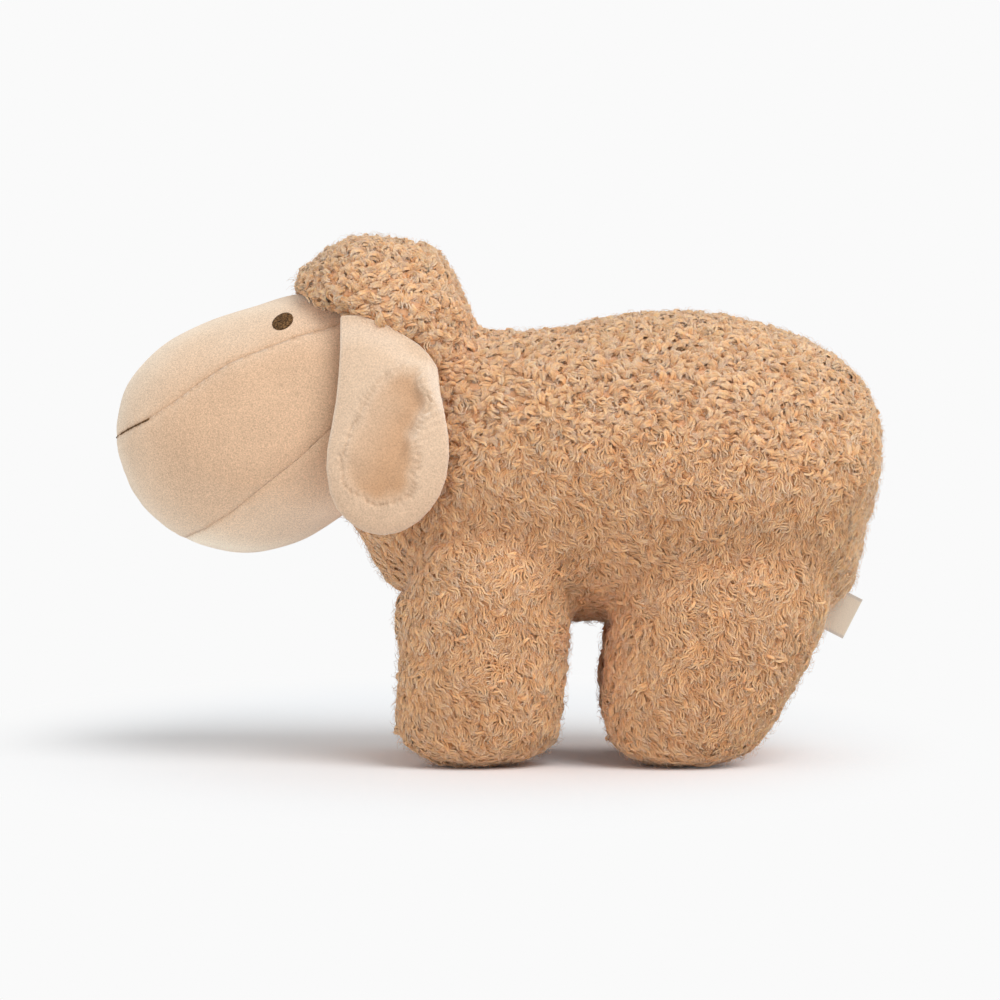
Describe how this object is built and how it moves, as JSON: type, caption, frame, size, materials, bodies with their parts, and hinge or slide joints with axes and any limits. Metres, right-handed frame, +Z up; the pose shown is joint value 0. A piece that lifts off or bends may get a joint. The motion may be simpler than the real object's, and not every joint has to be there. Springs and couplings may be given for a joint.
{
  "type": "plush sheep",
  "caption": "Standing plush sheep with a curly fleece coat, a smooth velour face, padded lop ears that flap and embroidered eyes and mouth.",
  "frame": {"origin": "on the floor, under the middle of the sheep's bounding box", "axes": "+X from the nose towards the rump, +Y towards the sheep's right side, +Z up"},
  "size_m": [0.308, 0.1302, 0.2097],
  "materials": {
    "fleece": "curly sherpa fleece",
    "velour": "short-pile velour",
    "ear_velour": "short-pile velour",
    "filling": "loose polyester fibre",
    "brown_thread": "satin-stitched rayon thread",
    "sewing_thread": "matt sewing thread",
    "woven_tape": "close-woven cotton tape"
  },
  "bodies": {
    "sheep": {"body_panel_left": "fleece", "body_panel_right": "fleece", "belly_panel_left": "fleece", "belly_panel_right": "fleece", "body_stuffing": "filling", "front_left_leg_fleece": "fleece", "front_right_leg_fleece": "fleece", "hind_left_leg_fleece": "fleece", "hind_right_leg_fleece": "fleece", "front_left_leg_stuffing": "filling", "front_right_leg_stuffing": "filling", "hind_left_leg_stuffing": "filling", "hind_right_leg_stuffing": "filling", "hood_fleece": "fleece", "head_stuffing": "filling", "brow_panel": "velour", "cheek_panel_left": "velour", "cheek_panel_right": "velour", "chin_panel": "velour", "left_eye": "brown_thread", "right_eye": "brown_thread", "mouth_stitch": "brown_thread", "closing_stitch": "sewing_thread"},
    "left_ear": {"left_ear_front": "ear_velour", "left_ear_back": "ear_velour", "left_ear_wadding": "filling"},
    "right_ear": {"right_ear_front": "ear_velour", "right_ear_back": "ear_velour", "right_ear_wadding": "filling"},
    "label": {"woven_label": "woven_tape"}
  },
  "joints": [
    {"name": "left_ear_flap", "type": "hinge", "parent": "sheep", "child": "left_ear", "pos_m": [-0.0435, -0.04738, 0.16956], "axis": [-0.9063, 0, 0.4226], "range_deg": [0, 90]},
    {"name": "right_ear_flap", "type": "hinge", "parent": "sheep", "child": "right_ear", "pos_m": [-0.0435, 0.04738, 0.16956], "axis": [0.9063, 0, -0.4226], "range_deg": [0, 90]},
    {"name": "label_flap", "type": "hinge", "parent": "sheep", "child": "label", "pos_m": [0.1319, 0, 0.0608], "axis": [0.454, 0, 0.891], "range_deg": [-45, 45]}
  ]
}
